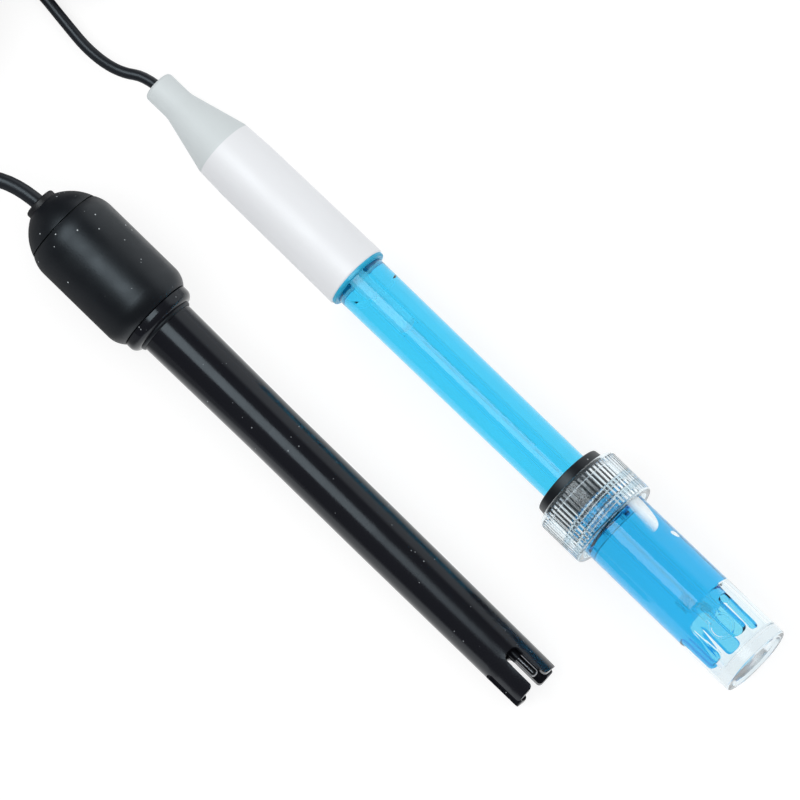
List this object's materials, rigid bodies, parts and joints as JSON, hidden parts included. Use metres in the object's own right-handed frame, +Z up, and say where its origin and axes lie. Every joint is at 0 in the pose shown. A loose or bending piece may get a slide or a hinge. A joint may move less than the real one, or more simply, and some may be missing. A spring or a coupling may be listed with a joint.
{
  "type": "ph meter probe set",
  "caption": "pH electrode with a clear blue tube, guarded glass bulb and screw-capped storage bottle, beside a black conductivity probe; each has a coiled cord and plug.",
  "frame": {"origin": "centre of the two probes' footprint on the bench, cords and plugs left out", "axes": "+X along the probes towards their tips, +Y from the conductivity probe towards the pH electrode, +Z up"},
  "size_m": [0.2864, 0.082, 0.0216],
  "materials": {
    "grey_boot": "satin",
    "white_barrel": "satin",
    "resin": "matte",
    "clear_blue_tube": "clear",
    "black_moulding": "satin",
    "ceramic": "matte",
    "glass_stem": "clear",
    "clear_fluid": "clear",
    "storage_fluid": "clear",
    "reference_gel": "clear",
    "silver_wire": "satin",
    "cord_tie": "matte",
    "black_boot": "matte",
    "nickel": "bright",
    "white_insulator": "matte",
    "gold_contact": "bright",
    "black_rubber": "matte",
    "clear_cap": "clear",
    "clear_bottle": "clear",
    "graphite": "satin",
    "copper_wire": "satin",
    "black_cord": "matte"
  },
  "bodies": {
    "ph_electrode": {"ph_strain_relief": "grey_boot", "ph_barrel": "white_barrel", "ph_potting": "resin", "ph_tube": "clear_blue_tube", "ph_head_plug": "black_moulding", "ph_tip_plug": "clear_blue_tube", "ph_junction": "ceramic", "ph_stem": "glass_stem", "ph_bulb": "glass_stem", "ph_stem_fill": "clear_fluid", "ph_reference_gel": "reference_gel", "ph_inner_wire": "silver_wire", "ph_reference_wire": "silver_wire", "ph_cord_core": "black_cord", "ph_cord": "black_cord", "ph_cord_coil": "black_cord", "ph_cord_tie": "cord_tie", "ph_cord_tail": "black_cord", "bnc_boot": "black_boot", "bnc_ferrule": "nickel", "bnc_body": "nickel", "bnc_insulator": "white_insulator", "bnc_pin": "gold_contact", "bnc_cord_core": "black_cord"},
    "seal": {"storage_seal": "black_rubber"},
    "cap": {"storage_cap": "clear_cap"},
    "bottle": {"storage_bottle": "clear_bottle", "storage_solution": "storage_fluid"},
    "bayonet_ring": {"bnc_coupling_ring": "nickel"},
    "ec_probe": {"ec_gland": "black_boot", "ec_dome_cap": "black_rubber", "ec_grip_sleeve": "black_rubber", "ec_collar": "black_moulding", "ec_lip_ring": "black_rubber", "ec_tube": "black_moulding", "ec_cell_body": "black_moulding", "ec_cell_pins": "graphite", "ec_thermistor": "ceramic", "ec_lead_wires": "copper_wire", "ec_potting": "resin", "ec_cord_core": "black_cord", "ec_cord": "black_cord", "ec_cord_coil": "black_cord", "ec_cord_tie": "cord_tie", "ec_cord_tail": "black_cord", "ec_plug_boot": "black_boot", "ec_plug_body": "black_moulding", "ec_plug_insert": "black_moulding", "ec_plug_pins": "gold_contact", "ec_plug_cord_core": "black_cord"},
    "screw_ring": {"ec_plug_nut": "black_moulding"}
  },
  "joints": [
    {"name": "seal_slide", "type": "slide", "parent": "ph_electrode", "child": "seal", "axis": [0.9994, 0, 0.0354], "range_m": [0, 0.065]},
    {"name": "cap_turn", "type": "hinge", "parent": "seal", "child": "cap", "pos_m": [0.04115, 0.01766, 0.01082], "axis": [-0.9994, 0, -0.0354], "range_deg": [0, 720]},
    {"name": "bottle_unscrew", "type": "slide", "parent": "seal", "child": "bottle", "axis": [0.9994, 0, 0.0354], "range_m": [0, 0.006]},
    {"name": "bayonet_ring_turn", "type": "hinge", "parent": "ph_electrode", "child": "bayonet_ring", "pos_m": [-0.18947, 0.0412, 0.00813], "axis": [-0.9841, 0, 0.1778], "continuous": true},
    {"name": "screw_ring_turn", "type": "hinge", "parent": "ec_probe", "child": "screw_ring", "pos_m": [-0.1684, 0.02352, 0.00861], "axis": [0, 0.9873, 0.1591], "continuous": true},
    {"name": "ec_probe_lift", "type": "slide", "parent": "ph_electrode", "child": "ec_probe", "axis": [0, 0, 1], "range_m": [0, 0.1]}
  ],
  "couplings": [
    {"joint": "cap_turn", "follows": "bottle_unscrew", "rad_per_m": 2094.4}
  ]
}
